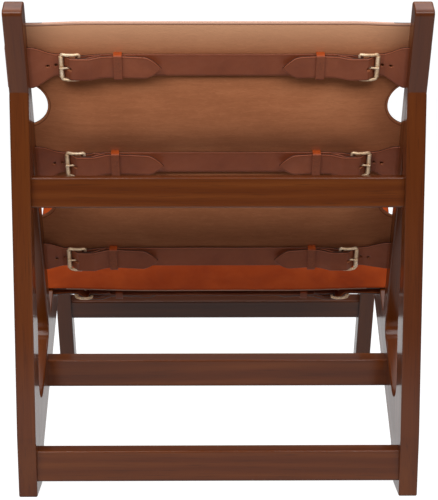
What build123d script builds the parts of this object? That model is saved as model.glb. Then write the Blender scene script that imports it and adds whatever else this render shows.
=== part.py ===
"""Leather sling lounge chair: two timber side frames, four cross rails and two buckled hides.

Units are millimetres. +X is the sitter's right, +Y is the chair's front, +Z is up, and the origin
is on the floor under the middle of the chair's box. The side-view outlines are written as (y, z)
from the back edge of the rear foot, and REAR_FOOT_Y moves them into the frame.
"""
import os
from math import atan2, cos, degrees, hypot, radians, sin, tan

from build123d import *

# ---- driving dimensions -----------------------------------------------------------------------
WIDTH = 600.0                # over the outer faces of the side frames
TIMBER = 28.0                # thickness of every side-frame member, along X
HEIGHT = 736.0               # floor to the top of the back uprights
REAR_FOOT_Y = -324.8         # back edge of the rear feet
EDGE_ROUND = 2.5             # softened timber edges

RECLINE = 27.9               # back uprights, from vertical
POST_DEPTH = 36.0            # across an upright, in the side view
POST_REACH = 318.0           # where an upright's back edge would meet the floor
SEAT_PITCH = 35.2            # seat rails, from horizontal
RAIL_DEPTH = 68.0            # across a seat rail, in the side view
RAIL_REACH = 25.6            # where a seat rail's underside would meet the floor
RAIL_FRONT = 580.0           # front end of a seat rail's underside
LEG_LEAN = 25.0              # front legs, from vertical
LEG_DEPTH = 38.0             # across a front leg, in the side view
LEG_FOOT = 669.0             # back edge of a front foot

HIDE = 4.0                   # leather of the back and the seat
HIDE_GAP = 0.3               # hide to timber
STRAP_WIDTH = 35.0           # belts and tongues
BELT = 3.0                   # leather of the cross belts
SLOT_DEPTH = 12.5            # middle of a strap slot, behind the member's front edge
FLARE = 33.0                 # half width of a tongue where it leaves its slot
NOTCH_RADIUS = 36.0          # round notches between the wings of a hide
NOTCH_BITE = 22.0            # how far a notch reaches inside the side frame

ROLLER_X = 227.0             # buckle roller from the chair's centre plane
HEEL_X = 201.0               # buckle heel bar from the chair's centre plane
ROLLER_OUT = 9.0             # roller axis behind the hide
HEEL_OUT = 10.0              # heel bar axis behind the hide
WIRE = 4.5                   # brass wire of the buckle frame
ROLLER = 7.0                 # outer diameter of the roller
RUNNING = 0.1                # radial running clearance
PRONG = 3.4                  # prong thickness at its root
SEAT_LIFT = 7.5              # how much further out the seat's belts run than the back's
TIP_OUT = 14.6               # the free tip springs away from the belt
TIP_LENGTH = 24.0            # from the point to the full width
HOLE_PITCH = 12.0
HOLE_RADIUS = 2.2
SPARE_HOLES = 2

# ---- worked out from the driving dimensions ---------------------------------------------------
INNER = WIDTH / 2 - TIMBER
POST_SLOPE = tan(radians(RECLINE))
RAIL_SLOPE = tan(radians(SEAT_PITCH))
LEG_SLOPE = tan(radians(LEG_LEAN))
POST_UP = (-sin(radians(RECLINE)), cos(radians(RECLINE)))
POST_FRONT = (cos(radians(RECLINE)), sin(radians(RECLINE)))
RAIL_TOP = (-sin(radians(SEAT_PITCH)), cos(radians(SEAT_PITCH)))
RAIL_HEIGHT = RAIL_DEPTH / cos(radians(SEAT_PITCH))
POST_SPAN = POST_DEPTH / cos(radians(RECLINE))
LEG_SPAN = LEG_DEPTH / cos(radians(LEG_LEAN))


def post_back(z):
    """y of an upright's back edge at height z."""
    return POST_REACH - POST_SLOPE * z


def rail_under(y):
    """z of a seat rail's underside at y."""
    return RAIL_SLOPE * (y - RAIL_REACH)


def rail_top(y):
    """z of a seat rail's top edge at y."""
    return rail_under(y) + RAIL_HEIGHT


def placed(points):
    """Move (y, z) points from the rear foot's back edge into the chair's frame."""
    return [(y + REAR_FOOT_Y, z) for y, z in points]


def side_slab(points, radii=0.0, thickness=TIMBER, inset=0.0):
    """Extrude a closed side-view outline on the +X side, inset from the inner face."""
    face = make_face(FilletPolyline(*placed(points), radius=radii, close=True))
    return extrude(Plane.YZ.offset(INNER + inset) * face, amount=thickness)


def off_line(point, line):
    """Distance of a (y, z) point from the line through two others."""
    (y0, z0), (y1, z1) = placed(line)
    return abs((y1 - y0) * (z0 - point.Z) - (y0 - point.Y) * (z1 - z0)) / hypot(y1 - y0, z1 - z0)


def soften(solid, joints):
    """Round the long edges of a side member, but not where it meets its neighbours."""
    rims = []
    for edge in solid.edges():
        middle = edge.position_at(0.5)
        flat = abs(abs(middle.X) - INNER) < 0.01 or abs(abs(middle.X) - WIDTH / 2) < 0.01
        at_joint = any(off_line(middle, line) < 0.5 and off_line(edge.position_at(0), line) < 0.5
                       for line in joints)
        if flat and not at_joint:
            rims.append(edge)
    return fillet(rims, EDGE_ROUND)


def save(node, shape):
    """Write one node under its own name."""
    export_step(shape, f"parts/{node}.step")


# ---- side frames ------------------------------------------------------------------------------
TOP_BACK_Z = HEIGHT + 2.8 - POST_DEPTH * POST_FRONT[1]
WINDOW_CORNER_Y = (POST_REACH - POST_SLOPE * rail_top(0)) / (1 + POST_SLOPE * RAIL_SLOPE)
FRONT_CORNER_Y = WINDOW_CORNER_Y + POST_SPAN / (1 + POST_SLOPE * RAIL_SLOPE)
HEEL_FRONT = 66.0
LEG_FRONT_LOW = 50.0
LEG_FRONT_HIGH = 31.0
MITRE_LOW = (35.0, (POST_REACH - 35.0) / POST_SLOPE)
MITRE_HIGH = (-3.5, (POST_REACH + 3.5) / POST_SLOPE)
CORNER_LOW = (WINDOW_CORNER_Y - 7.7, rail_top(WINDOW_CORNER_Y) + 1.9)
CORNER_HIGH = (FRONT_CORNER_Y, rail_top(FRONT_CORNER_Y))
CORNER_SPLIT = (300.0, 330.0)
FOOT_LOW = (50.0, 0.0)
FOOT_HIGH = (64.0, 150.0)

FRAME_OUTLINE = [
    (0.0, 0.0),
    (HEEL_FRONT, 0.0),
    (101.5, rail_under(101.5)),
    (RAIL_FRONT, rail_under(RAIL_FRONT)),
    (RAIL_FRONT + RAIL_DEPTH * RAIL_TOP[0], rail_under(RAIL_FRONT) + RAIL_DEPTH * RAIL_TOP[1]),
    CORNER_HIGH,
    (post_back(TOP_BACK_Z) + POST_DEPTH * POST_FRONT[0], TOP_BACK_Z + POST_DEPTH * POST_FRONT[1]),
    (post_back(TOP_BACK_Z), TOP_BACK_Z),
    MITRE_HIGH,
    (-9.2, 95.0),
]
FRAME_RADII = [3.0, 8.0, 60.0, 14.0, 20.0, 8.0, 8.0, 8.0, 0.0, 30.0]
WINDOW_OUTLINE = [
    (LEG_FRONT_LOW, rail_top(LEG_FRONT_LOW)),
    (WINDOW_CORNER_Y, rail_top(WINDOW_CORNER_Y)),
    MITRE_LOW,
    (LEG_FRONT_HIGH, 350.0),
    (LEG_FRONT_LOW, 255.0),
]
WINDOW_RADII = [36.0, 24.0, 3.0, 120.0, 120.0]
LEG_ZONE = [
    (-200.0, -60.0),
    (FOOT_LOW[0] - 60.0 * 14.0 / 150.0, -60.0),
    FOOT_HIGH,
    (70.0, 200.0),
    (70.0, (POST_REACH - 70.0) / POST_SLOPE),
    (-20.0, (POST_REACH + 20.0) / POST_SLOPE),
    (-200.0, (POST_REACH + 20.0) / POST_SLOPE),
]
POST_ZONE = [
    (post_back(900.0), 900.0),
    (70.0, (POST_REACH - 70.0) / POST_SLOPE),
    (120.0, 280.0),
    (2 * CORNER_LOW[0] - CORNER_HIGH[0], 2 * CORNER_LOW[1] - CORNER_HIGH[1]),
    CORNER_HIGH,
    CORNER_SPLIT,
    (300.0, 900.0),
]
MITRE = [MITRE_LOW, MITRE_HIGH]
FOOT_JOINT = [FOOT_LOW, FOOT_HIGH]
CORNER_JOINT = [CORNER_LOW, CORNER_HIGH]
CORNER_WEB = [CORNER_HIGH, CORNER_SPLIT]
RAIL_JOINT = [(0.0, rail_under(0.0)), (100.0, rail_under(100.0))]
MITRE_SHIFT = 7.0            # the rear leg is thin at the mitre, so its dowels sit forward


def tenon(start, along, across, length, width):
    """A tenon of a third of the timber's thickness, along a member's own direction."""
    half = width / 2
    near = (start[0] - along[0] * 6.0, start[1] - along[1] * 6.0)
    far = (start[0] + along[0] * length, start[1] + along[1] * length)
    corners = [
        (near[0] - across[0] * half, near[1] - across[1] * half),
        (far[0] - across[0] * half, far[1] - across[1] * half),
        (far[0] + across[0] * half, far[1] + across[1] * half),
        (near[0] + across[0] * half, near[1] + across[1] * half),
    ]
    return side_slab(corners, 0.0, TIMBER / 3, TIMBER / 3)


def dowel(y, z, angle):
    """A 10 mm dowel, 36 mm long, in the middle of the timber, at an angle above +Y."""
    turned = Rotation(angle, 0, 0) * Cylinder(5.0, 36.0, rotation=(-90, 0, 0))
    return Pos(INNER + TIMBER / 2, y + REAR_FOOT_Y, z) * turned


def side_members():
    """The four members of the +X side frame and the dowels between them."""
    whole = side_slab(FRAME_OUTLINE, FRAME_RADII) - side_slab(WINDOW_OUTLINE, WINDOW_RADII)
    leg_zone = side_slab(LEG_ZONE)
    post_zone = side_slab(POST_ZONE)
    rear_leg = soften(whole & leg_zone, [MITRE, FOOT_JOINT])
    upright = soften(whole & post_zone, [CORNER_JOINT])
    seat_rail = soften(whole - leg_zone - post_zone, [FOOT_JOINT, CORNER_JOINT, CORNER_WEB])

    back_y = (LEG_FOOT + LEG_SLOPE * RAIL_SLOPE * RAIL_REACH) / (1 + LEG_SLOPE * RAIL_SLOPE)
    front_y = back_y + LEG_SPAN / (1 + LEG_SLOPE * RAIL_SLOPE)
    front_leg = side_slab(
        [(LEG_FOOT, 0.0), (LEG_FOOT + LEG_SPAN, 0.0), (front_y, rail_under(front_y)),
         (back_y, rail_under(back_y))],
        [3.0, 3.0, 0.0, 0.0],
    )
    front_leg = soften(front_leg, [RAIL_JOINT])

    middle = (POST_SPAN / 2 + post_back(235.0), 235.0)
    post_tenon = tenon(middle, (-POST_UP[0], -POST_UP[1]), POST_FRONT, 48.0, 22.0)
    leg_up = (-sin(radians(LEG_LEAN)), cos(radians(LEG_LEAN)))
    leg_across = (leg_up[1], -leg_up[0])
    leg_mid_y = (back_y + front_y) / 2
    leg_tenon = tenon((leg_mid_y, rail_under(leg_mid_y)), leg_up, leg_across, 34.0, 24.0)
    upright = upright + (post_tenon & seat_rail)
    seat_rail = seat_rail - post_tenon
    front_leg = front_leg + (leg_tenon & seat_rail)
    seat_rail = seat_rail - leg_tenon

    pins = []
    for share in (0.25, 0.6):
        y = MITRE_LOW[0] + share * (MITRE_HIGH[0] - MITRE_LOW[0]) + MITRE_SHIFT * POST_FRONT[0]
        z = MITRE_LOW[1] + share * (MITRE_HIGH[1] - MITRE_LOW[1]) + MITRE_SHIFT * POST_FRONT[1]
        pins.append(dowel(y, z, RECLINE))
    for height in (30.0, 92.0):
        y = FOOT_LOW[0] + height * (FOOT_HIGH[0] - FOOT_LOW[0]) / FOOT_HIGH[1]
        pins.append(dowel(y, height, 0.0))
    for pin in pins:
        rear_leg = rear_leg - pin
        upright = upright - pin
        seat_rail = seat_rail - pin
    return {"back_upright": upright, "rear_leg": rear_leg, "seat_rail": seat_rail,
            "front_leg": front_leg}, pins


def cross_rail(y, z, depth, height, tilt=0.0):
    """A rail between the side frames, with a stub tenon at each end."""
    rail = fillet(Box(2 * INNER, depth, height).edges().filter_by(Axis.X), 3.0)
    rail = rail + Box(2 * INNER + 36.0, depth * 0.5, height - 14.0)
    return Pos(0, y + REAR_FOOT_Y, z) * Rotation(tilt, 0, 0) * rail


RAILS = {
    "back_rail": cross_rail(18.0, 461.5, 26.0, 45.0),
    "rear_stretcher": cross_rail(18.5, 47.2, 30.0, 48.0),
    "middle_stretcher": cross_rail(192.0, 148.5, 46.0, 43.5),
    "front_stretcher": cross_rail(LEG_FOOT + LEG_SPAN / 2 - LEG_SLOPE * 165.0, 165.0, 26.0, 39.0,
                                  LEG_LEAN),
}


# ---- hides, belts and buckles, in a row's own frame -------------------------------------------
# x is the chair's X, y runs along the member that the row is strapped to, and z points out of the
# hide's flesh side, away from the sitter. z = 0 is the front edge of the member.
LEATHER_MID = -HIDE_GAP - HIDE / 2
FLARE_PAST = 8.0             # a tongue has its full flare gone this far outside its roller
UNDER_ROLLER = ROLLER_OUT - ROLLER / 2 - 0.2 - HIDE / 2
OVER_HEEL = HEEL_OUT + WIRE / 2 + RUNNING + BELT + 0.3 + HIDE / 2
BELT_MID = 3.8
PRONG_SLOT = (HEEL_X + 10.2, HEEL_X + 20.4)
BELT_PATH = [
    (0.0, BELT_MID),
    (HEEL_X - 30.0, BELT_MID),
    (HEEL_X - 14.0, HEEL_OUT - WIRE / 2 - RUNNING - BELT / 2),
    (HEEL_X, HEEL_OUT - WIRE / 2 - RUNNING - BELT / 2),
]


def thick_line(points, thickness, bend=6.0):
    """Closed outline of a strap that follows a path, seen on its edge."""
    half = thickness / 2
    sides = {1: [], -1: []}
    radii = {1: [], -1: []}
    for index, (x, z) in enumerate(points):
        before = points[max(index - 1, 0)]
        after = points[min(index + 1, len(points) - 1)]
        turns = [t for t in ((before, (x, z)), ((x, z), after)) if t[0] != t[1]]
        angles = [atan2(b[1] - a[1], b[0] - a[0]) for a, b in turns]
        mean = atan2(sum(sin(a) for a in angles), sum(cos(a) for a in angles))
        reach = half / cos(angles[0] - mean)
        left_turn = sin(angles[-1] - angles[0]) > 0
        for side in sides:
            sides[side].append((x - side * reach * sin(mean), z + side * reach * cos(mean)))
            inside = left_turn == (side == 1)
            corner = max(bend - half, 0.6) if inside else bend + half
            radii[side].append(corner if len(angles) == 2 else 0.0)
    return make_face(FilletPolyline(*sides[1], *reversed(sides[-1]),
                                    radius=radii[1] + radii[-1][::-1], close=True))


def strap(face, low, high):
    """Extrude an edge-on outline across the strap, from y = low to y = high."""
    return extrude(Plane.XZ.offset(-high) * face, amount=high - low)


def both_sides(shape):
    """The shape and its mirror image on the chair's other side."""
    return shape, mirror(shape, about=Plane.YZ)


def tongue_path(shift, keeper_x, tip_x, lift):
    """A tongue's middle line: under the roller, over the belt's fold and through the keeper."""
    roller_x, heel_x = ROLLER_X + shift, HEEL_X + shift
    return [
        (INNER + 3.0, SLOT_DEPTH),
        (INNER - 4.0, SLOT_DEPTH),
        (roller_x + 12.0, UNDER_ROLLER + lift),
        (roller_x - 3.0, UNDER_ROLLER + lift),
        (heel_x + 11.5, OVER_HEEL + lift),
        (heel_x - 14.0, OVER_HEEL + lift),
        (heel_x - 31.0, 10.6 + lift),
        (keeper_x + 8.0, 9.5 + lift),
        (keeper_x - 8.0, 9.5 + lift),
        (tip_x, TIP_OUT + lift),
    ]


def flank(reach, flare_end, tip_x):
    """Points and corner radii along one side of a tongue, from its slot towards its tip."""
    half = STRAP_WIDTH / 2
    points, radii = [(INNER + 3.0, reach)], [0.0]
    if reach > half:
        points += [(INNER - 4.0, reach), (flare_end, half)]
        radii += [6.0, 20.0]
    return points + [(tip_x + TIP_LENGTH, half)], radii + [14.0]


def tongue(low, high, shift, keeper_x, tip_x, lift):
    """The buckle end of a wing on the +X side, from inside its slot to the pointed tip."""
    flare_end = ROLLER_X + FLARE_PAST + shift
    upper, upper_radii = flank(high, flare_end, tip_x)
    lower, lower_radii = flank(-low, flare_end, tip_x)
    plan = upper + [(tip_x, 0.0)] + [(x, -y) for x, y in reversed(lower)]
    radii = upper_radii + [3.0] + lower_radii[::-1]
    outline = extrude(make_face(FilletPolyline(*plan, radius=radii, close=True)), amount=40.0)
    line = thick_line(tongue_path(shift, keeper_x, tip_x, lift), HIDE)
    shape = strap(line, low, high) & outline
    prong_slot = extrude(SlotOverall(PRONG_SLOT[1] - PRONG_SLOT[0], PRONG + 1.2), amount=40.0)
    shape = shape - Pos(sum(PRONG_SLOT) / 2 + shift, 0, 0) * prong_slot
    for index in range(SPARE_HOLES):
        hole = Pos(flare_end + HOLE_PITCH * index, 0, 10) * Cylinder(HOLE_RADIUS, 40.0)
        shape = shape - hole
    return shape


def wrap(low, high):
    """The strap of a wing round the outside of its member and into the slot."""
    outside = WIDTH / 2 + HIDE_GAP + HIDE / 2
    path = [(INNER, LEATHER_MID), (outside, LEATHER_MID), (outside, SLOT_DEPTH), (INNER, SLOT_DEPTH)]
    return strap(thick_line(path, HIDE, 2.6), low, high)


def slot_cut(low, high):
    """The mortise that a wing passes through."""
    block = Box(WIDTH, high - low + 2.0, HIDE + 1.2)
    return Pos(WIDTH / 2 + INNER - 40.0, (low + high) / 2, SLOT_DEPTH) * block


def hide(top, bottom, wings, notches, fits, lift):
    """A hide with wings strapped round the members.

    A wing is (row, low and high end of its flap, low and high end of its strap from the row),
    and a fit is how its belt sits.
    """
    panel = Pos(0, (top + bottom) / 2, LEATHER_MID) * Box(2 * INNER, top - bottom, HIDE)
    for middle in notches:
        cut = Pos(INNER + NOTCH_RADIUS - NOTCH_BITE, middle, LEATHER_MID)
        for disc in both_sides(cut * Cylinder(NOTCH_RADIUS, 3 * HIDE)):
            panel = panel - disc
    outside = WIDTH / 2 + HIDE_GAP
    for (row, flap_low, flap_high, low, high), (shift, keepers, tips) in zip(wings, fits):
        flap = Box(outside - INNER + 1.0, flap_high - flap_low, HIDE)
        flap = Pos((outside + INNER - 1.0) / 2, (flap_low + flap_high) / 2, LEATHER_MID) * flap
        for sign, keeper_x, tip_x in zip((1, -1), keepers, tips):
            end = tongue(low, high, sign * shift, keeper_x, tip_x, lift)
            wing = flap + Pos(0, row, 0) * (wrap(low, high) + end)
            panel = panel + (wing if sign == 1 else mirror(wing, about=Plane.YZ))
    return panel


def cross_belt():
    """The belt behind a hide, folded round the heel bar of a buckle at each end."""
    half = STRAP_WIDTH / 2
    run = strap(thick_line(BELT_PATH, BELT), -half, half)
    inner = WIRE / 2 + RUNNING
    loop = Cylinder(inner + BELT, STRAP_WIDTH, rotation=(90, 0, 0))
    loop = loop - Cylinder(inner, STRAP_WIDTH, rotation=(90, 0, 0))
    loop = loop & Pos(20, 0, 0) * Box(40, 60, 40)
    fold_mid = inner + BELT / 2
    on_belt = BELT_MID + BELT - HEEL_OUT
    back = [(0.0, fold_mid), (-12.0, fold_mid), (-26.0, on_belt), (-31.0, on_belt)]
    fold = strap(thick_line(back, BELT), -half, half)
    end = Pos(HEEL_X, 0, HEEL_OUT) * (loop + fold)
    end = (run + end) - Pos(HEEL_X, 0, HEEL_OUT) * Box(24.0, PRONG + 1.4, 20.0)
    narrow = STRAP_WIDTH / 2 - 1.2
    for side in (-1, 1):
        end = end - Pos(HEEL_X + 10, side * (narrow + 5), HEEL_OUT) * Box(32.0, 10.0, 30.0)
    right, left = both_sides(end)
    return right + left


def keeper(x):
    """A loop round the belt and the tongue, at x."""
    low, high = 0.1, 14.2
    outer = Box(12.0, STRAP_WIDTH + 1.2 + 4.4, high - low)
    outer = fillet(outer.edges().filter_by(Axis.X), 3.0)
    inner = fillet(Box(14.0, STRAP_WIDTH + 1.2, high - low - 4.4).edges().filter_by(Axis.X), 1.0)
    return Pos(x, 0, (low + high) / 2) * (outer - inner)


BUCKLE_SPAN = hypot(ROLLER_X - HEEL_X, ROLLER_OUT - HEEL_OUT)
BUCKLE_TILT = degrees(atan2(HEEL_OUT - ROLLER_OUT, ROLLER_X - HEEL_X))
BUCKLE_HALF = STRAP_WIDTH / 2 + 0.6 + WIRE / 2
BUCKLE_ARCH = 2.5
BUCKLE_PLACE = Pos(HEEL_X, 0, HEEL_OUT) * Rotation(0, BUCKLE_TILT, 0)


def buckle_frame():
    """Brass wire loop: heel bar at x = 0, roller bar at the far end, side bars arched."""
    path = FilletPolyline(
        (0, 0, 0), (0, BUCKLE_HALF, 0), (BUCKLE_SPAN * 0.3, BUCKLE_HALF, BUCKLE_ARCH),
        (BUCKLE_SPAN * 0.7, BUCKLE_HALF, BUCKLE_ARCH), (BUCKLE_SPAN, BUCKLE_HALF, 0),
        (BUCKLE_SPAN, 0, 0),
        radius=[2.8, 3.0, 3.0, 2.8],
    )
    half = sweep(Plane.XZ * Circle(WIRE / 2), path=path)
    return BUCKLE_PLACE * (half + mirror(half, about=Plane.XZ))


def roller():
    """Brass tube that turns on the outer bar."""
    length = 2 * (BUCKLE_HALF - 3.4)
    tube = Cylinder(ROLLER / 2, length, rotation=(90, 0, 0))
    tube = fillet(tube.edges(), 0.5)
    tube = tube - Cylinder(WIRE / 2 + RUNNING, length, rotation=(90, 0, 0))
    return BUCKLE_PLACE * Pos(BUCKLE_SPAN, 0, 0) * tube


def prong():
    """Brass tongue pin: an eye on the heel bar and a tapered tip that rests on the roller."""
    eye = WIRE / 2 + RUNNING
    length = BUCKLE_SPAN + 3.0
    rise = degrees(atan2(ROLLER / 2 + 0.15 + PRONG * 0.45, BUCKLE_SPAN))
    ring = fillet(Cylinder(eye + 1.5, PRONG, rotation=(90, 0, 0)).edges(), 0.5)
    pin = Pos(length / 2, 0, 0) * Cone(PRONG / 2, PRONG * 0.38, length, rotation=(0, 90, 0))
    pin = fillet(pin.edges().sort_by(Axis.X)[-1], 0.8)
    pin = Rotation(0, -rise, 0) * pin
    shape = ring + pin
    return BUCKLE_PLACE * (shape - Cylinder(eye, 3 * PRONG, rotation=(90, 0, 0)))


# ---- where the rows sit -----------------------------------------------------------------------
ROW_1_Z = 650.0
BACK_ROWS = (-2.3, -170.8, -351.5)
BACK_EDGES = (62.0, -369.0)
BACK_NOTCHES = (-71.5, -241.5)
SEAT_ROW_Y = 296.0
SEAT_ROWS = (0.0, -183.0)
SEAT_EDGES = (19.0, -268.0)
SEAT_NOTCHES = (-91.5,)
# How each row's belt sits: its shift towards +X, then its keepers and its tongues' tips, right and
# left, from the centre plane.
BACK_FITS = (
    (1.8, (146.5, 144.0), (92.5, 81.4)),
    (0.8, (148.4, 154.0), (92.8, 81.3)),
    (-7.0, (149.0, 164.0), (89.9, 93.5)),
)
SEAT_FITS = (
    (-8.0, (145.5, 163.0), (90.0, 90.0)),
    (-8.0, (145.5, 163.0), (90.0, 90.0)),
)
NOTCH_HALF = (NOTCH_RADIUS ** 2 - (NOTCH_RADIUS - NOTCH_BITE) ** 2) ** 0.5

BACK_PLANE = Plane(
    origin=(0, post_back(ROW_1_Z) + POST_SPAN + REAR_FOOT_Y, ROW_1_Z),
    x_dir=(1, 0, 0), z_dir=(0, -POST_FRONT[0], -POST_FRONT[1]),
)
SEAT_PLANE = Plane(
    origin=(0, SEAT_ROW_Y + REAR_FOOT_Y, rail_top(SEAT_ROW_Y)),
    x_dir=(1, 0, 0), z_dir=(0, -RAIL_TOP[0], -RAIL_TOP[1]),
)


def wing_table(rows, edges, notches, straps):
    """For each row: its place, its flap's span, and how far its strap reaches to each side."""
    stops = [edges[0]]
    for middle in notches:
        stops += [middle + NOTCH_HALF, middle - NOTCH_HALF]
    stops.append(edges[1])
    return [(row, stops[2 * i + 1], stops[2 * i], *straps[i]) for i, row in enumerate(rows)]


HALF = STRAP_WIDTH / 2
BACK_WINGS = wing_table(BACK_ROWS, BACK_EDGES, BACK_NOTCHES,
                        [(-FLARE, FLARE), (-FLARE, FLARE), (-HALF, FLARE)])
SEAT_WINGS = wing_table(SEAT_ROWS, SEAT_EDGES, SEAT_NOTCHES, [(-FLARE, HALF), (-FLARE, FLARE)])


def main():
    os.makedirs("parts", exist_ok=True)
    members, pins = side_members()
    for rail in RAILS.values():
        for name in members:
            members[name] = members[name] - rail
    for plane, wings, name in ((BACK_PLANE, BACK_WINGS, "back_upright"),
                               (SEAT_PLANE, SEAT_WINGS, "seat_rail")):
        for row, _, _, low, high in wings:
            members[name] = members[name] - plane.location * Pos(0, row, 0) * slot_cut(low, high)
    for name, member in members.items():
        right, left = both_sides(member)
        save(f"right_{name}", right)
        save(f"left_{name}", left)
    save("frame_dowels", Compound(children=[p for pin in pins for p in both_sides(pin)]))
    for name, rail in RAILS.items():
        save(name, rail)

    panel = hide(*BACK_EDGES, BACK_WINGS, BACK_NOTCHES, BACK_FITS, 0.0)
    save("back_hide", BACK_PLANE.location * panel)
    panel = hide(*SEAT_EDGES, SEAT_WINGS, SEAT_NOTCHES, SEAT_FITS, SEAT_LIFT)
    save("seat_hide", SEAT_PLANE.location * panel)

    belt = cross_belt()
    number = 0
    for plane, rows, fits, lift in ((BACK_PLANE, BACK_ROWS, BACK_FITS, 0.0),
                                    (SEAT_PLANE, SEAT_ROWS, SEAT_FITS, SEAT_LIFT)):
        for row, (shift, (right_keeper, left_keeper), _) in zip(rows, fits):
            number += 1
            place = plane.location * Pos(0, row, lift)
            loops = Compound(children=[keeper(right_keeper), keeper(-left_keeper)])
            save(f"keepers_{number}", place * loops)
            place = place * Pos(shift, 0, 0)
            save(f"cross_belt_{number}", place * belt)
            for node, shape in (("buckle_frame", buckle_frame()), ("buckle_roller", roller()),
                                ("buckle_prong", prong())):
                for side, solid in zip(("right", "left"), both_sides(shape)):
                    save(f"{node}_{side}_{number}", place * solid)


main()
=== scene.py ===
"""Leather sling lounge chair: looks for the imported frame.

Lengths are in metres in the chair's frame, except where a name or comment says mm.
"""
import math

import bmesh
import bpy
from mathutils import Matrix, Vector, noise


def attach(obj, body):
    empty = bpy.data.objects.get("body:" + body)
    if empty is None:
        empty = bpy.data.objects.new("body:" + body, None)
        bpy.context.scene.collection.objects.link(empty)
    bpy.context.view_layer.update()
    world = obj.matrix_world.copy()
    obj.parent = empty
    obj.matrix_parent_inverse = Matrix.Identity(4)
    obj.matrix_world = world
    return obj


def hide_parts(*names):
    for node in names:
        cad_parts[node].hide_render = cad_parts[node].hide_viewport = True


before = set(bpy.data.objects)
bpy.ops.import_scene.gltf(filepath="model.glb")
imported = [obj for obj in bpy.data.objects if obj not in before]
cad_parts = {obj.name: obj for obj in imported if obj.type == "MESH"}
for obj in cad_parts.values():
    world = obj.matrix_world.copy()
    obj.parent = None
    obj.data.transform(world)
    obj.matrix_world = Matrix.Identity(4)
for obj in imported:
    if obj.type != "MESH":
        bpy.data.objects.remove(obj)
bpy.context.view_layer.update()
MM = 0.001

# ---- the chair's dimensions, in mm, as in the CAD source --------------------------------------
INNER = 272.0                # inner faces of the side frames
OUTSIDE = 302.3              # middle of a wing's leather on the outer face
HIDE_MID = -2.3              # middle of the hide's leather, from the member's front edge
HALF_HIDE = 2.0
SLOT_DEPTH = 12.5
STRAP_HALF = 17.5
FLARE_PAST = 8.0             # a tongue has lost all its flare this far outside its roller
SHOULDER_START = 296.0       # from here along its path a wing narrows to its strap
SHOULDER_LENGTH = 16.0
HOLE_RADIUS, HOLE_PITCH = 2.2, 12.0
PRONG_SLOT = (10.2, 20.4)    # ends of a prong's slot, outside its heel bar
PRONG_SLOT_WIDTH = 4.6
BELT_SLOT = (-11.0, 12.0)    # ends of the slot in a belt's fold, from its heel bar
BELT_SLOT_WIDTH = 4.8
ROLLER_X = 227.0
HEEL_X, HEEL_OUT = 201.0, 10.0
TIP_LENGTH, TIP_OUT = 24.0, 14.6
NOTCH_X, NOTCH_RADIUS = 286.0, 36.0
NOTCH_HALF = math.sqrt(NOTCH_RADIUS ** 2 - (NOTCH_X - INNER) ** 2)
BELT_MID = 3.8
SEAT_SAG = 4.5               # how far the seat's rows and belts hang under their lines
HALF_BELT = 1.5

BACK = {
    "node": "back_hide", "origin": (0.0, -310.2, 650.0), "along": (0.0, -0.46793, 0.88377),
    "rows": (-2.3, -170.8, -351.5), "edges": (62.0, -369.0), "notches": (-71.5, -241.5),
    "straps": ((-33.0, 33.0), (-33.0, 33.0), (-17.5, 33.0)), "lift": 0.0,
    "fits": ((1.8, (146.5, 144.0), (92.5, 81.4)), (0.8, (148.4, 154.0), (92.8, 81.3)),
             (-7.0, (149.0, 164.0), (89.9, 93.5))),
}
SEAT = {
    "node": "seat_hide", "origin": (0.0, -28.8, 273.96), "along": (0.0, -0.81714, -0.57643),
    "rows": (0.0, -183.0), "edges": (19.0, -268.0), "notches": (-91.5,),
    "straps": ((-33.0, 17.5), (-33.0, 33.0)), "lift": 7.5,
    "fits": ((-8.0, (145.5, 163.0), (90.0, 90.0)), (-8.0, (145.5, 163.0), (90.0, 90.0))),
}


def place(part):
    """Matrix from a row's own mm (x across, y along the member, z out of the flesh side)."""
    along = Vector(part["along"]).normalized()
    across = Vector((1.0, 0.0, 0.0))
    out = across.cross(along)
    turn = Matrix((across, along, out)).transposed().to_4x4()
    return Matrix.Translation(Vector(part["origin"]) * MM) @ turn @ Matrix.Scale(MM, 4)


# ---- node materials ---------------------------------------------------------------------------
def srgb(r, g, b):
    """Linear colour of an 8-bit one."""
    def linear(c):
        c /= 255.0
        return c / 12.92 if c <= 0.04045 else ((c + 0.055) / 1.055) ** 2.4
    return (linear(r), linear(g), linear(b), 1.0)


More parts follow.
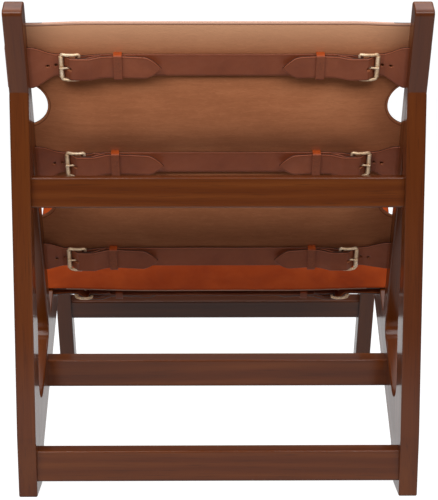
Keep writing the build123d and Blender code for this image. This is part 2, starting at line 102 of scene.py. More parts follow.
class Material:
    """A Principled material and short ways to add nodes to it."""

    def __init__(self, name, **shader):
        self.material = bpy.data.materials.new(name)
        self.material.use_nodes = True
        self.tree = self.material.node_tree
        self.shader = self.tree.nodes["Principled BSDF"]
        for socket, value in shader.items():
            self.shader.inputs[socket.replace("_", " ")].default_value = value

    def node(self, kind, inputs=(), **settings):
        made = self.tree.nodes.new(kind)
        for key, value in settings.items():
            setattr(made, key, value)
        for key, value in dict(inputs).items():
            self.feed(made.inputs[key], value)
        return made

    def feed(self, socket, value):
        if isinstance(value, bpy.types.NodeSocket):
            self.tree.links.new(value, socket)
        else:
            socket.default_value = value

    def math(self, operation, a, b=0.0, c=0.0):
        made = self.node("ShaderNodeMath", {0: a, 1: b, 2: c}, operation=operation)
        return made.outputs[0]

    def dot(self, a, direction):
        made = self.node("ShaderNodeVectorMath", {0: a, 1: direction}, operation="DOT_PRODUCT")
        return made.outputs["Value"]

    def vector(self, x, y, z):
        return self.node("ShaderNodeCombineXYZ", {0: x, 1: y, 2: z}).outputs[0]

    def scaled(self, vector, scale, shift=(0.0, 0.0, 0.0)):
        made = self.node("ShaderNodeVectorMath", {0: vector, 1: scale, 2: shift},
                         operation="MULTIPLY_ADD")
        return made.outputs[0]

    def noise(self, vector, scale, detail=4.0, rough=0.55, distortion=0.0):
        made = self.node("ShaderNodeTexNoise", {
            "Vector": vector, "Scale": scale, "Detail": detail, "Roughness": rough,
            "Distortion": distortion})
        return made.outputs["Fac"]

    def ramp(self, factor, *stops):
        made = self.node("ShaderNodeValToRGB", {0: factor})
        elements = made.color_ramp.elements
        while len(elements) < len(stops):
            elements.new(0.5)
        for element, (at, colour) in zip(elements, stops):
            element.position = at
            element.color = colour if len(colour) == 4 else (*colour, 1.0)
        return made.outputs[0]

    def mix(self, factor, a, b):
        made = self.node("ShaderNodeMix", data_type="RGBA")
        self.feed(made.inputs[0], factor)
        self.feed(made.inputs[6], a)
        self.feed(made.inputs[7], b)
        return made.outputs[2]

    def map(self, value, a, b, c=0.0, d=1.0):
        made = self.node("ShaderNodeMapRange", {0: value, 1: a, 2: b, 3: c, 4: d})
        return made.outputs[0]

    def object_space(self):
        return self.node("ShaderNodeTexCoord").outputs["Object"]

    def flat_space(self):
        """The flat cut's own coordinates, in metres."""
        return self.node("ShaderNodeTexCoord").outputs["UV"]

    def attribute(self, name):
        return self.node("ShaderNodeAttribute", attribute_name=name).outputs["Fac"]

    def finish(self, colour=None, rough=None, height=None, strength=0.3, distance=0.0004):
        if colour is not None:
            self.feed(self.shader.inputs["Base Color"], colour)
        if rough is not None:
            self.feed(self.shader.inputs["Roughness"], rough)
        if height is not None:
            bump = self.node("ShaderNodeBump", {"Height": height, "Strength": strength,
                                                "Distance": distance})
            self.feed(self.shader.inputs["Normal"], bump.outputs[0])
        return self.material


def grey(v):
    return (v, v, v, 1.0)


def wood(name, along, seed):
    """Stained hardwood with its grain along a member."""
    m = Material(name, Specular_IOR_Level=0.05, Coat_Weight=0.55, Coat_Roughness=0.14)
    along = Vector(along).normalized()
    side = Vector((1.0, 0.0, 0.0)) if abs(along.x) < 0.5 else Vector((0.0, 1.0, 0.0))
    across = along.cross(side).normalized()
    spot = m.object_space()
    grain = m.vector(m.dot(spot, along), m.dot(spot, across), m.dot(spot, side))
    shift = (seed * 3.17, seed * 1.31, seed * 2.03)
    figure = m.scaled(grain, (1.1, 17.0, 17.0), shift)
    wave = m.node("ShaderNodeTexWave", {
        "Vector": figure, "Scale": 1.0, "Distortion": 5.5, "Detail": 3.0, "Detail Scale": 1.3,
        "Detail Roughness": 0.6}, wave_type="BANDS", bands_direction="Y").outputs["Fac"]
    streak = m.noise(m.scaled(grain, (1.6, 34.0, 34.0), shift), 1.0, 4.0, 0.5, 0.3)
    pores = m.noise(m.scaled(grain, (16.0, 620.0, 620.0), shift), 1.0, 2.0, 0.5)
    cloud = m.noise(m.scaled(grain, (3.5, 9.0, 9.0), shift), 1.0, 2.0)
    tone = m.math("MULTIPLY_ADD", wave, 0.22, m.math("MULTIPLY", streak, 0.78))
    colour = m.ramp(tone, (0.2, srgb(84, 36, 8)), (0.45, srgb(98, 45, 12)),
                    (0.6, srgb(107, 52, 16)), (0.82, srgb(122, 64, 24)))
    colour = m.mix(m.map(pores, 0.55, 0.75, 0.0, 0.55), colour, srgb(62, 28, 11))
    colour = m.mix(m.map(cloud, 0.35, 0.75, 0.0, 0.3), colour, srgb(90, 44, 18))
    rough = m.map(streak, 0.3, 0.75, 0.5, 0.4)
    height = m.math("MULTIPLY_ADD", pores, -0.6, m.math("MULTIPLY", streak, 0.5))
    return m.finish(colour, rough, height, 0.18, 0.0003)


def grain_leather(name, base, low, high, seed, shine=0.25, rough=0.42, groove=(2.1, 0.45)):
    """Smooth oiled side of the leather, with a creased line beside its edge."""
    m = Material(name, Specular_IOR_Level=shine, Coat_Weight=shine / 4, Coat_Roughness=0.3)
    flat = m.flat_space()
    shift = (seed, seed * 0.7, seed * 0.3)
    cloud = m.noise(m.scaled(flat, (1.0, 1.0, 1.0), shift), 14.0, 5.0, 0.6, 0.3)
    mottle = m.noise(m.scaled(flat, (1.0, 1.0, 1.0), shift), 90.0, 4.0, 0.6)
    pebble = m.node("ShaderNodeTexVoronoi", {"Vector": m.scaled(flat, (1.0, 1.0, 1.0), shift),
                                             "Scale": 720.0}).outputs["Distance"]
    colour = m.mix(m.map(cloud, 0.3, 0.72), low, high)
    colour = m.mix(m.map(mottle, 0.35, 0.7, 0.0, 0.4), colour, base)
    rim = m.attribute("rim_mm")
    line = m.map(m.math("ABSOLUTE", m.math("SUBTRACT", rim, groove[0])), groove[1] * 0.4,
                 groove[1], 1.0, 0.0)
    # painted highlight: the colour turns paler within 2.2 mm of the cut edge
    edge_highlight = m.map(rim, 0.3, 2.2, 0.08, 0.0)
    colour = m.mix(edge_highlight, colour, tuple(min(1.0, c * 1.5) for c in high[:3]) + (1.0,))
    colour = m.mix(m.math("MULTIPLY", line, 0.6), colour, tuple(c * 0.3 for c in low[:3]) + (1.0,))
    finish = m.map(mottle, 0.3, 0.7, rough - 0.06, rough + 0.1)
    height = m.math("MULTIPLY_ADD", line, -1.6, m.math("MULTIPLY_ADD", pebble, -0.35,
                                                       m.math("MULTIPLY", mottle, 0.5)))
    return m.finish(colour, finish, height, 0.35, 0.0003)


def flesh_leather(name, tints, seed, edge_highlight):
    """Sueded back of the leather: fibrous, matt, streaked, and paler near its top, a painted
    highlight.
    """
    low, mid, high = tints
    m = Material(name, Specular_IOR_Level=0.12, Sheen_Weight=0.05, Sheen_Roughness=0.6)
    flat = m.flat_space()
    shift = (seed, seed * 1.7, seed * 0.3)
    cloud = m.noise(m.scaled(flat, (1.0, 1.3, 1.0), shift), 7.0, 4.0, 0.55, 0.4)
    streak = m.noise(m.scaled(flat, (14.0, 120.0, 1.0), shift), 1.0, 5.0, 0.65, 0.6)
    fibre = m.noise(m.scaled(flat, (420.0, 900.0, 1.0), shift), 1.0, 4.0, 0.7, 1.0)
    tone = m.math("MULTIPLY_ADD", streak, 0.35, m.math("MULTIPLY", cloud, 0.65))
    colour = m.ramp(tone, (0.3, low), (0.5, mid), (0.72, high))
    wrinkle = m.noise(m.scaled(flat, (85.0, 360.0, 1.0), shift), 1.0, 3.0, 0.6, 1.2)
    colour = m.mix(m.map(fibre, 0.35, 0.7, 0.0, 0.3), colour, mid)
    colour = m.mix(m.map(wrinkle, 0.3, 0.5, 0.35, 0.0), colour, low)
    colour = m.mix(m.map(wrinkle, 0.52, 0.72, 0.0, 0.35), colour, high)
    across = m.node("ShaderNodeSeparateXYZ", {0: flat}).outputs["Y"]
    # painted highlight: a pale band towards the top edge of the cut, as strong as the last
    # argument asks
    colour = m.mix(m.map(across, 1.012, 1.058, 0.0, edge_highlight), colour, srgb(232, 176, 136))
    rim = m.attribute("rim_mm")
    line = m.map(m.math("ABSOLUTE", m.math("SUBTRACT", rim, 3.7)), 0.3, 0.85, 1.0, 0.0)
    band = m.math("MULTIPLY", m.map(rim, 2.6, 3.4, 0.85, 0.0), m.map(across, 1.045, 1.05))
    colour = m.mix(band, colour, srgb(214, 168, 146))
    colour = m.mix(m.math("MULTIPLY", line, 0.75), colour, srgb(104, 42, 24))
    rough = m.map(fibre, 0.3, 0.7, 0.66, 0.86)
    height = m.math("MULTIPLY_ADD", line, -2.0, m.math("MULTIPLY_ADD", fibre, 0.4,
                                                       m.math("MULTIPLY", wrinkle, 1.3)))
    return m.finish(colour, rough, height, 0.45, 0.0005)


def edge_leather(name, low, high):
    """Cut and burnished edge of the leather."""
    m = Material(name, Specular_IOR_Level=0.4)
    spot = m.object_space()
    layer = m.noise(m.scaled(spot, (60.0, 900.0, 900.0)), 1.0, 4.0, 0.6)
    colour = m.mix(m.map(layer, 0.3, 0.7), low, high)
    return m.finish(colour, m.map(layer, 0.3, 0.7, 0.45, 0.62), layer, 0.3, 0.0003)


def keeper_leather(name):
    """Brown loop leather, orange on its upward faces: painted top light."""
    m = Material(name, Specular_IOR_Level=0.3)
    spot = m.object_space()
    layer = m.noise(m.scaled(spot, (300.0, 300.0, 300.0)), 1.0, 4.0, 0.6)
    up = m.dot(m.node("ShaderNodeNewGeometry").outputs["Normal"], (0.0, 0.0, 1.0))
    brown = m.mix(m.map(layer, 0.3, 0.7), srgb(126, 66, 42), srgb(148, 80, 52))
    # painted top light: faces turned upward get this orange instead of the brown
    painted_top_light = m.mix(m.map(layer, 0.3, 0.7), srgb(152, 62, 20), srgb(170, 74, 27))
    colour = m.mix(m.map(up, 0.0, 0.45), brown, painted_top_light)
    return m.finish(colour, m.map(layer, 0.3, 0.7, 0.42, 0.58), layer, 0.2, 0.0003)


def brass(name):
    """Antique brass, brushed by wear, darker in its pits."""
    m = Material(name, Metallic=0.35)
    spot = m.object_space()
    wear = m.noise(spot, 90.0, 4.0, 0.6)
    pit = m.noise(spot, 700.0, 3.0, 0.6)
    colour = m.ramp(wear, (0.3, srgb(206, 168, 128)), (0.5, srgb(236, 204, 166)),
                    (0.75, srgb(248, 226, 198)))
    colour = m.mix(m.map(pit, 0.58, 0.75, 0.0, 0.6), colour, srgb(96, 70, 42))
    return m.finish(colour, m.map(wear, 0.3, 0.7, 0.36, 0.24), pit, 0.15, 0.0002)


TAN = (srgb(150, 56, 14), srgb(134, 48, 11), srgb(168, 70, 21))
# paler, browner copy of the grain leather's tint for tongues and belts: painted sheen
TAN_WITH_PAINTED_SHEEN = (srgb(142, 74, 46), srgb(126, 62, 37), srgb(160, 88, 58))
FLESH = (srgb(162, 98, 62), srgb(182, 113, 74), srgb(202, 132, 90))
SEAT_FLESH = (srgb(150, 74, 36), srgb(166, 84, 42), srgb(184, 98, 52))

grain_side = [
    grain_leather("leather_grain", *TAN, seed=2.1, shine=0.04, rough=0.6),
    grain_leather("leather_tongue", *TAN_WITH_PAINTED_SHEEN, seed=3.4),
    edge_leather("leather_edge", srgb(190, 140, 118), srgb(214, 170, 148)),
    # dark cut edge for notches, wings and tongues: painted shade
    edge_leather("leather_edge_painted_shade", srgb(52, 24, 15), srgb(84, 44, 30)),
]
back_materials = [flesh_leather("leather_flesh", FLESH, 1.3, 0.75)] + grain_side
seat_materials = [flesh_leather("leather_seat_flesh", SEAT_FLESH, 8.3, 0.0)] + grain_side
belt_materials = [
    grain_leather("belt_flesh", *TAN_WITH_PAINTED_SHEEN, seed=4.4),
    grain_leather("belt_grain", *TAN_WITH_PAINTED_SHEEN, seed=5.2),
    grain_leather("belt_fold", *TAN_WITH_PAINTED_SHEEN, seed=6.2),
    edge_leather("belt_edge", srgb(56, 27, 17), srgb(88, 48, 33)),
    edge_leather("belt_edge_dark", srgb(52, 24, 15), srgb(84, 44, 30)),
]


# ---- leather meshes ---------------------------------------------------------------------------
def smooth_step(t):
    t = min(max(t, 0.0), 1.0)
    return t * t * (3.0 - 2.0 * t)


def rounded_path(points, radii, step):
    """Samples (x, z, nx, nz, length so far, leg) along a line with round corners.

    The normal n is to the line's left.
    """
    samples = []
    run = 0.0

    def add(x, z, angle, leg):
        nonlocal run
        if samples:
            run += math.hypot(x - samples[-1][0], z - samples[-1][1])
        samples.append((x, z, -math.sin(angle), math.cos(angle), run, leg))

    starts = []
    for i in range(1, len(points) - 1):
        a, b, c = (Vector(points[j]) for j in (i - 1, i, i + 1))
        before, after = (b - a).normalized(), (c - b).normalized()
        turn = math.atan2(before.x * after.y - before.y * after.x, before.dot(after))
        cut = radii[i - 1] * abs(math.tan(turn / 2))
        starts.append((b - before * cut, b + after * cut, turn, radii[i - 1], before))
    here = Vector(points[0])
    for i in range(len(points) - 1):
        ahead = starts[i][0] if i < len(starts) else Vector(points[-1])
        angle = math.atan2(ahead.y - here.y, ahead.x - here.x)
        count = max(1, math.ceil((ahead - here).length / step))
        for k in range(count + 1):
            spot = here.lerp(ahead, k / count)
            if not samples or math.hypot(spot.x - samples[-1][0], spot.y - samples[-1][1]) > 1e-4:
                add(spot.x, spot.y, angle, i)
        if i < len(starts):
            begin, end, turn, radius, before = starts[i]
            left = Vector((-before.y, before.x)) * (1 if turn > 0 else -1)
            centre = begin + left * radius
            pieces = max(2, math.ceil(abs(math.degrees(turn)) / 11))
            for k in range(1, pieces + 1):
                part = turn * k / pieces
                arm = begin - centre
                arm = Vector((arm.x * math.cos(part) - arm.y * math.sin(part),
                              arm.x * math.sin(part) + arm.y * math.cos(part)))
                add(centre.x + arm.x, centre.y + arm.y, angle + part,
                    i + (0 if part < turn / 2 else 1))
            here = end
    return samples


INSETS = (0.0, 0.5, 1.2, 1.9, 2.7, 3.5, 4.6, 6.5)


def spread(low, high, inner_rows):
    """Places across a strip: close together near both sides, even between."""
    squeeze = min(1.0, (high - low) / (2.6 * INSETS[-1]))
    near = [low + d * squeeze for d in INSETS]
    far = [high - d * squeeze for d in reversed(INSETS)]
    between = [near[-1] + (far[0] - near[-1]) * k / (inner_rows + 1)
               for k in range(1, inner_rows + 1)]
    return near + between + far


def leather(name, part, strips, bulge, rim, half, material_of, materials):
    """A closed leather piece from its flat cut.

    A strip is (side, path, span, rows between): a run of columns along its side's path.
    """
    verts, index, faces, flat, rims = [], {}, [], [], []
    for side, path, span, inner_rows in strips:
        grid = []
        for x, z, nx, nz, run, leg in path:
            limits = span(x, run, leg)
            column = []
            for y in spread(*limits, inner_rows):
                key = (round(side * run, 3), round(y, 3))
                if key not in index:
                    index[key] = len(verts)
                    verts.append((x * side, y, z, nx * side, nz, leg))
                    flat.append((side * run, y))
                    rims.append(rim(run, y, leg, limits, path[-1][4] - run))
                column.append(index[key])
            grid.append(column)
        for a, b in zip(grid, grid[1:]):
            for j in range(len(a) - 1):
                quad = list(dict.fromkeys([a[j], b[j], b[j + 1], a[j + 1]]))
                if len(quad) > 2:
                    faces.append(quad if side == 1 else quad[::-1])
    count = {}
    for face in faces:
        for a, b in zip(face, face[1:] + face[:1]):
            count[(a, b)] = count.get((a, b), 0) + 1
    border = [(a, b) for (a, b) in count if (b, a) not in count]

    points = []
    for i, (x, y, z, nx, nz, leg) in enumerate(verts):
        edge = min(max(rims[i] / (half * 0.75), 0.0), 1.0)
        thick = half * (0.62 + 0.38 * math.sqrt(1.0 - (1.0 - edge) ** 2))
        lift = bulge(x, y, leg)
        points.append((Vector((x, y, z + lift)), Vector((nx, 0.0, nz)), thick))
    total = len(verts)
    mesh_verts = [p + n * t for p, n, t in points] + [p - n * t for p, n, t in points]
    mesh_faces = [tuple(f) for f in faces]
    mesh_faces += [tuple(i + total for i in reversed(f)) for f in faces]
    tags = [material_of(flat[f[0]], verts[f[0]][5], True) for f in faces]
    tags += [material_of(flat[f[0]], verts[f[0]][5], False) for f in faces]
    for a, b in border:
        mesh_faces.append((b, a, a + total, b + total))
        # on a hide the straight panel edges take the light cut edge, all other rims the dark one,
        # which is painted shade
        straight = verts[a][5] == 0 and abs(flat[a][0]) < NOTCH_X - NOTCH_RADIUS
        tags.append(3 if straight else 4)
    mesh = bpy.data.meshes.new(name)
    mesh.from_pydata([tuple(v) for v in mesh_verts], [], mesh_faces)
    for material in materials:
        mesh.materials.append(material)
    mesh.polygons.foreach_set("material_index", tags)
    mesh.polygons.foreach_set("use_smooth", [True] * len(mesh_faces))
    uv = mesh.uv_layers.new(name="flat")
    for loop in mesh.loops:
        u, v = flat[loop.vertex_index % total]
        uv.data[loop.index].uv = (u * MM + 1.0, v * MM + 1.0)
    rim_layer = mesh.attributes.new("rim_mm", "FLOAT", "POINT")
    rim_layer.data.foreach_set("value", rims + rims)
    mesh.transform(place(part))
    mesh.update()
    piece = bpy.data.objects.new(name, mesh)
    bpy.context.scene.collection.objects.link(piece)
    area = sum(polygon_area([flat[i] for i in f]) for f in faces)
    return piece, area * MM * MM


def polygon_area(corners):
    """Area of a flat polygon, in its own units."""
    return abs(sum(a[0] * b[1] - b[0] * a[1]
                   for a, b in zip(corners, corners[1:] + corners[:1]))) / 2


def stadium(x0, x1, y, width, sides=9):
    """Outline of a slot with round ends from x0 to x1; a hole if those are one width apart."""
    radius = width / 2
    corners = []
    for centre, begin in ((x1 - radius, -math.pi / 2), (x0 + radius, math.pi / 2)):
        for k in range(sides):
            angle = begin + math.pi * k / (sides - 1)
            corners.append((centre + radius * math.cos(angle), y + radius * math.sin(angle)))
    return corners


def punch(piece, matrix, cuts):
    """Cut slots and holes through a piece: (outline, low z, high z) in the matrix's mm."""
    verts, faces = [], []
    for outline, low, high in cuts:
        first, n = len(verts), len(outline)
        verts += [(x, y, low) for x, y in outline] + [(x, y, high) for x, y in outline]
        faces.append(tuple(first + i for i in reversed(range(n))))
        faces.append(tuple(first + n + i for i in range(n)))
        faces += [(first + i, first + (i + 1) % n, first + n + (i + 1) % n, first + n + i)
                  for i in range(n)]
    tool = bpy.data.meshes.new("punch")
    tool.from_pydata(verts, [], faces)
    tool.transform(matrix)
    cleaned = bmesh.new()
    cleaned.from_mesh(tool)
    bmesh.ops.remove_doubles(cleaned, verts=cleaned.verts, dist=1e-6)
    bmesh.ops.recalc_face_normals(cleaned, faces=cleaned.faces)
    cleaned.to_mesh(tool)
    cleaned.free()
    cutter = bpy.data.objects.new("punch", tool)
    bpy.context.scene.collection.objects.link(cutter)
    modifier = piece.modifiers.new("punch", "BOOLEAN")
    modifier.operation = "DIFFERENCE"
    modifier.solver = "EXACT"
    modifier.object = cutter
    bpy.context.view_layer.update()
    ready = piece.evaluated_get(bpy.context.evaluated_depsgraph_get())
    cut = bpy.data.meshes.new_from_object(ready)
    piece.modifiers.clear()
    old = piece.data
    piece.data = cut
    bpy.data.meshes.remove(old)
    bpy.data.objects.remove(cutter)
    cut.name = piece.name


TONGUE_LEG = 2
NOTCH_STOPS = (250.0, 250.6, 251.8, 253.6, 256.4, 259.0, 262.5, 266.5, INNER, 295.9)


def wing_path(shift, keeper_x, tip_x, lift):
    """Path of a wing: along the panel, round the member, under the roller, through the keeper."""
    roller_x, heel_x = ROLLER_X + shift, HEEL_X + shift
    points = [
        (0.0, HIDE_MID), (OUTSIDE, HIDE_MID), (OUTSIDE, SLOT_DEPTH), (268.0, SLOT_DEPTH),
        (roller_x + 12.0, 3.3 + lift), (roller_x - 3.0, 3.3 + lift),
        (heel_x + 11.5, 17.65 + lift), (heel_x - 14.0, 17.65 + lift), (heel_x - 31.0, 10.6 + lift),
        (keeper_x + 8.0, 9.5 + lift), (keeper_x - 8.0, 9.5 + lift), (tip_x, TIP_OUT + lift),
    ]
    path = rounded_path(points, [2.6, 2.6, 6.0, 6.0, 6.0, 6.0, 6.0, 6.0, 6.0, 30.0], 5.0)
    path = sorted(path + [(x, HIDE_MID, 0.0, 1.0, x, 0) for x in NOTCH_STOPS], key=lambda s: s[4])
    return [s for i, s in enumerate(path) if i == 0 or s[4] - path[i - 1][4] > 1e-3]


def wing_span(part, number, shift, tip_x):
    """The limits of one strip of a hide, at a place on the wing's path."""
    row = part["rows"][number]
    low, high = part["straps"][number]
    top = part["edges"][0] if number == 0 else part["notches"][number - 1]
    last = number == len(part["rows"]) - 1
    bottom = part["edges"][1] if last else part["notches"][number]
    flare_end = ROLLER_X + FLARE_PAST + shift

    def span(x, run, leg):
        bite = 0.0
        if x > NOTCH_X - NOTCH_RADIUS:
            reach = min(x, INNER) - NOTCH_X if leg == 0 else INNER - NOTCH_X
            bite = math.sqrt(max(0.0, NOTCH_RADIUS ** 2 - reach ** 2))
        upper = top - (0.0 if number == 0 else bite)
        lower = bottom + (0.0 if last else bite)
        if leg == 0 and x < SHOULDER_START:
            return lower, upper
        shoulder = smooth_step((run - SHOULDER_START) / SHOULDER_LENGTH)
        upper += (row + high - upper) * shoulder
        lower += (row + low - lower) * shoulder
        if leg < TONGUE_LEG or x > INNER - 4.0:
            return lower, upper
        flare = smooth_step((INNER - 2.0 - x) / (INNER - flare_end))
        upper += (row + STRAP_HALF - upper) * flare
        lower += (row - STRAP_HALF - lower) * flare
        if x < tip_x + TIP_LENGTH:
            part_left = max((x - tip_x) / TIP_LENGTH, 0.0)
            width = STRAP_HALF * (0.04 + 0.96 * (1.0 - (1.0 - part_left) ** 1.55))
            upper, lower = row + width, row - width
        return lower, upper
    return span


def hide_rim(part):
    """Distance in mm from a point of a hide's flat cut to the cut's own edge."""
    def rim(run, v, leg, limits, to_tip):
        if run <= INNER:
            gaps = [part["edges"][0] - v, v - part["edges"][1]]
            gaps += [math.hypot(run - NOTCH_X, v - m) - NOTCH_RADIUS for m in part["notches"]]
        else:
            gaps = [v - limits[0], limits[1] - v]
        if leg >= TONGUE_LEG:
            gaps.append(to_tip + 0.2)
        return max(0.0, min(gaps))
    return rim


def ripple(x, y, seed, size):
    """Slow unevenness of a hide under tension, in mm."""
    return size * noise.noise(Vector((x / 95.0, y / 60.0, seed)))


def back_bulge(x, y, leg):
    """How far the back hide stands out behind its plane, between its belts."""
    if leg != 0 or abs(x) > INNER - 2.0:
        return 0.0
    held = smooth_step((INNER - 4.0 - abs(x)) / 80.0)
    rows = BACK["rows"]
    clear = STRAP_HALF + 1.0
    if y > clear:
        return -4.5 * ((y - clear) / (BACK["edges"][0] - clear)) ** 1.7 * held
    lift = 0.0
    for upper, lower, size in ((rows[0], rows[1], 11.0), (rows[1], rows[2], 11.5)):
        top, bottom = upper - clear, lower + clear
        if bottom < y < top:
            t = (top - y) / (top - bottom)
            turn = 0.66
            shape = math.sin(math.pi / 2 * t / turn) if t < turn else math.cos(
                math.pi / 2 * (t - turn) / (1 - turn)) ** 0.9
            lift = size * shape + ripple(x, y, 3.0, 1.3) * shape
    return lift * held


def seat_bulge(x, y, leg):
    """How far the seat hide sags under its plane."""
    if leg != 0 or abs(x) > INNER - 2.0:
        return 0.0
    held = smooth_step((INNER - 4.0 - abs(x)) / 150.0)
    upper, lower = SEAT["rows"]
    top, bottom = upper - STRAP_HALF, lower + STRAP_HALF
    if bottom < y < top:
        t = (top - y) / (top - bottom)
        return (SEAT_SAG + 7.0 * math.sin(math.pi * t) + ripple(x, y, 7.0, 1.2)
                * math.sin(math.pi * t)) * held
    if y < lower - STRAP_HALF:
        return (SEAT_SAG + 2.0 * (lower - STRAP_HALF - y) / 66.0) * held
    return SEAT_SAG * held


def row_sag(number, x):
    """How far a belt hangs under its row's line."""
    if number < 4 or abs(x) > INNER:
        return 0.0
    return SEAT_SAG * smooth_step((INNER - 4.0 - abs(x)) / 150.0)


def hide_tag(flat, leg, flesh):
    """Material number of a hide's face: flesh side, grain side, or grain side of a tongue."""
    if flesh:
        return 0
    return 2 if leg >= TONGUE_LEG else 1


def make_hide(name, part, bulge, materials):
    """A hide with all its wings, punched for prongs and spare holes: piece, flat size, area."""
    strips, cuts, reach = [], [], {1: 0.0, -1: 0.0}
    lift = part["lift"]
    for number, (row, (shift, keepers, tips)) in enumerate(zip(part["rows"], part["fits"])):
        for side, keeper_x, tip_x in zip((1, -1), keepers, tips):
            outward = side * shift
            path = wing_path(outward, keeper_x, tip_x, lift)
            span = wing_span(part, number, outward, tip_x)
            strips.append((side, path, span, 9 if number == 1 else 6))
            reach[side] = max(reach[side], path[-1][4])
            for index in range(2):
                x = side * (ROLLER_X + FLARE_PAST + outward + HOLE_PITCH * index)
                hole = stadium(x - HOLE_RADIUS, x + HOLE_RADIUS, row, 2 * HOLE_RADIUS)
                cuts.append((hole, 0.2 + lift, 12.0 + lift))
            low, high = sorted(side * (HEEL_X + outward + end) for end in PRONG_SLOT)
            cuts.append((stadium(low, high, row, PRONG_SLOT_WIDTH), 1.0 + lift, 26.0 + lift))
    piece, area = leather(name, part, strips, bulge, hide_rim(part), HALF_HIDE, hide_tag,
                          materials)
    punch(piece, place(part), cuts)
    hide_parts(part["node"])
    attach(piece, "root")
    size = ((reach[1] + reach[-1]) * MM, (part["edges"][0] - part["edges"][1]) * MM)
    return piece, size, area


back_hide, back_size, back_area = make_hide("back_sling", BACK, back_bulge, back_materials)
seat_hide, seat_size, seat_area = make_hide("seat_sling", SEAT, seat_bulge, seat_materials)


# ---- cross belts ------------------------------------------------------------------------------
BELT_PATH = rounded_path(
    [(0.0, BELT_MID), (171.0, BELT_MID), (187.0, 6.15), (204.85, 6.15), (204.85, 13.85),
     (189.0, 13.85), (175.0, 6.85), (170.0, 6.85)],
    [10.0, 10.0, 3.84, 3.84, 8.0, 6.0], 8.0)


def belt_span(x, run, leg):
    half = STRAP_HALF - 1.2 * smooth_step((x - 188.0) / 6.0)
    return -half, half


def belt_rim(run, v, leg, limits, to_end):
    return max(0.0, min(STRAP_HALF - abs(v), to_end))


def make_belt(number, part, row, shift):
    """The cross belt of one row, from heel bar to heel bar."""
    along, lift = Vector(part["along"]), part["lift"]
    out = Vector((1.0, 0.0, 0.0)).cross(along)
    shifted = dict(part)
    shifted["origin"] = Vector(part["origin"]) + along * row + out * lift + Vector((shift, 0, 0))
    piece, area = leather(
        f"belt_{number}", shifted, [(side, BELT_PATH, belt_span, 6) for side in (1, -1)],
        lambda x, y, leg: row_sag(number, x) if leg == 0 else 0.0,
        belt_rim, HALF_BELT, lambda flat, leg, inner: 0 if inner else 1, belt_materials)
    cuts = []
    for side in (1, -1):
        low, high = sorted(side * (HEEL_X + end) for end in BELT_SLOT)
        cuts.append((stadium(low, high, 0.0, BELT_SLOT_WIDTH), 0.5, 20.0))
    punch(piece, place(shifted), cuts)
    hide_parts(f"cross_belt_{number}")
    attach(piece, "root")


number = 0
for part in (BACK, SEAT):
    for row, (shift, _, _) in zip(part["rows"], part["fits"]):
        number += 1
        make_belt(number, part, row, shift)


# ---- carried-over CAD pieces ------------------------------------------------------------------
def paint(node, material):
    """Give a CAD piece its material."""
    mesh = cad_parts[node].data
    mesh.materials.clear()
    mesh.materials.append(material)


UP = (0.0, 0.0, 1.0)
POST_ALONG = (0.0, -math.sin(math.radians(27.9)), math.cos(math.radians(27.9)))
RAIL_ALONG = (0.0, math.cos(math.radians(35.2)), math.sin(math.radians(35.2)))
LEG_ALONG = (0.0, -math.sin(math.radians(25.0)), math.cos(math.radians(25.0)))
GRAIN = {"rear_leg": UP, "back_upright": POST_ALONG, "seat_rail": RAIL_ALONG,
         "front_leg": LEG_ALONG}
seed = 1.0
for side in ("left", "right"):
    for member, along in GRAIN.items():
        seed += 1.0
        paint(f"{side}_{member}", wood(f"wood_{side}_{member}", along, seed))
for rail in ("back_rail", "rear_stretcher", "middle_stretcher", "front_stretcher"):
    seed += 1.0
    paint(rail, wood(f"wood_{rail}", (1.0, 0.0, 0.0), seed))
paint("frame_dowels", wood("wood_dowels", (0.0, 0.9, 0.4), 0.5))

BRASS = brass("antique_brass")
KEEPER_LEATHER = keeper_leather("leather_keeper")
for number in range(1, 6):
    paint(f"keepers_{number}", KEEPER_LEATHER)
    for side in ("left", "right"):
        for kind in ("frame", "roller", "prong"):
            paint(f"buckle_{kind}_{side}_{number}", BRASS)


# ---- floor, light and camera ------------------------------------------------------------------
AMBIENT = 0.06               # world strength for diffuse rays
GLOSS = 0.14                 # world strength for glossy rays
FLOOR_GLOSS = 0.8            # floor strength for glossy rays, from y = -0.9 on
FLOOR = 0.2                  # floor albedo
LIGHTS = [                   # name, place, aim, size, power in W
    ("key_left", (-1.5, -2.7, 2.6), (0.0, -0.2, 0.5), (2.6, 1.8), 76.0),
    ("key_right", (1.5, -2.7, 2.6), (0.0, -0.2, 0.5), (2.6, 1.8), 68.0),
    ("overhead", (0.0, 0.0, 2.9), (0.0, -0.1, 0.0), (2.4, 2.4), 44.0),
    ("front_fill", (0.0, 3.4, 2.0), (0.0, 0.0, 0.4), (2.2, 1.6), 26.0),
]


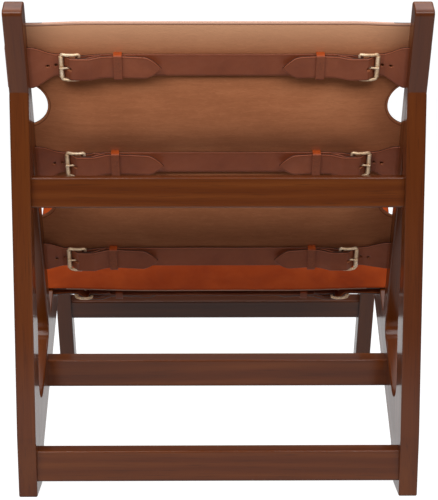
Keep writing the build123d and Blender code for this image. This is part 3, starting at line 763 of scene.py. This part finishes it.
def studio():
    floor_mesh = bpy.data.meshes.new("floor")
    floor_mesh.from_pydata([(-9, -9, 0), (9, -9, 0), (9, 9, 0), (-9, 9, 0)], [], [(0, 1, 2, 3)])
    floor = bpy.data.objects.new("floor", floor_mesh)
    bpy.context.scene.collection.objects.link(floor)
    pale = Material("pale_floor", Specular_IOR_Level=0.05)
    haze = pale.noise(pale.object_space(), 3.0, 3.0)
    seen = pale.node("ShaderNodeLightPath").outputs["Is Camera Ray"]
    pale.feed(pale.shader.inputs["Emission Color"], pale.mix(haze, grey(0.97), grey(1.0)))
    mirrored = pale.node("ShaderNodeLightPath").outputs["Is Glossy Ray"]
    behind = pale.node("ShaderNodeSeparateXYZ", {0: pale.object_space()}).outputs["Y"]
    sweep = pale.math("MULTIPLY", mirrored, pale.map(behind, -1.5, -0.9, 0.0, FLOOR_GLOSS))
    pale.feed(pale.shader.inputs["Emission Strength"], pale.math("ADD", sweep, seen))
    floor_mesh.materials.append(pale.finish(pale.mix(haze, grey(FLOOR), grey(FLOOR + 0.03)),
                                            pale.map(haze, 0.3, 0.7, 0.85, 0.95)))

    world = bpy.data.worlds.new("studio")
    bpy.context.scene.world = world
    world.use_nodes = True
    tree = world.node_tree
    back = tree.nodes["Background"]
    back.inputs["Color"].default_value = grey(1.0)
    seen = tree.nodes.new("ShaderNodeLightPath")
    strength = None
    for ray, low, high in (("Is Glossy Ray", AMBIENT, GLOSS), ("Is Camera Ray", 0.0, 1.05)):
        step = tree.nodes.new("ShaderNodeMapRange")
        step.inputs[3].default_value = low
        step.inputs[4].default_value = high
        tree.links.new(seen.outputs[ray], step.inputs[0])
        if strength:
            tree.links.new(strength, step.inputs[3])
        strength = step.outputs[0]
    tree.links.new(strength, back.inputs["Strength"])

    for name, spot, aim, size, power in LIGHTS:
        light = bpy.data.lights.new(name, "AREA")
        light.shape = "RECTANGLE"
        light.size, light.size_y = size
        light.energy = power
        lamp = bpy.data.objects.new(name, light)
        bpy.context.scene.collection.objects.link(lamp)
        lamp.location = spot
        lamp.visible_glossy = name != "front_fill"
        lamp.rotation_mode = "QUATERNION"
        lamp.rotation_quaternion = (Vector(aim) - Vector(spot)).to_track_quat("-Z", "Y")


studio()

camera_data = bpy.data.cameras.new("camera")
camera = bpy.data.objects.new("camera", camera_data)
bpy.context.scene.collection.objects.link(camera)
camera.location = (-0.019, -2.4168, 0.734)
camera.rotation_euler = (math.radians(90.0 - 9.67), 0.0, math.radians(-0.55))
camera_data.sensor_width = 36.0
camera_data.lens = 104.4
camera_data.clip_start, camera_data.clip_end = 0.05, 60.0
bpy.context.scene.camera = camera
bpy.context.scene.view_settings.view_transform = "Standard"
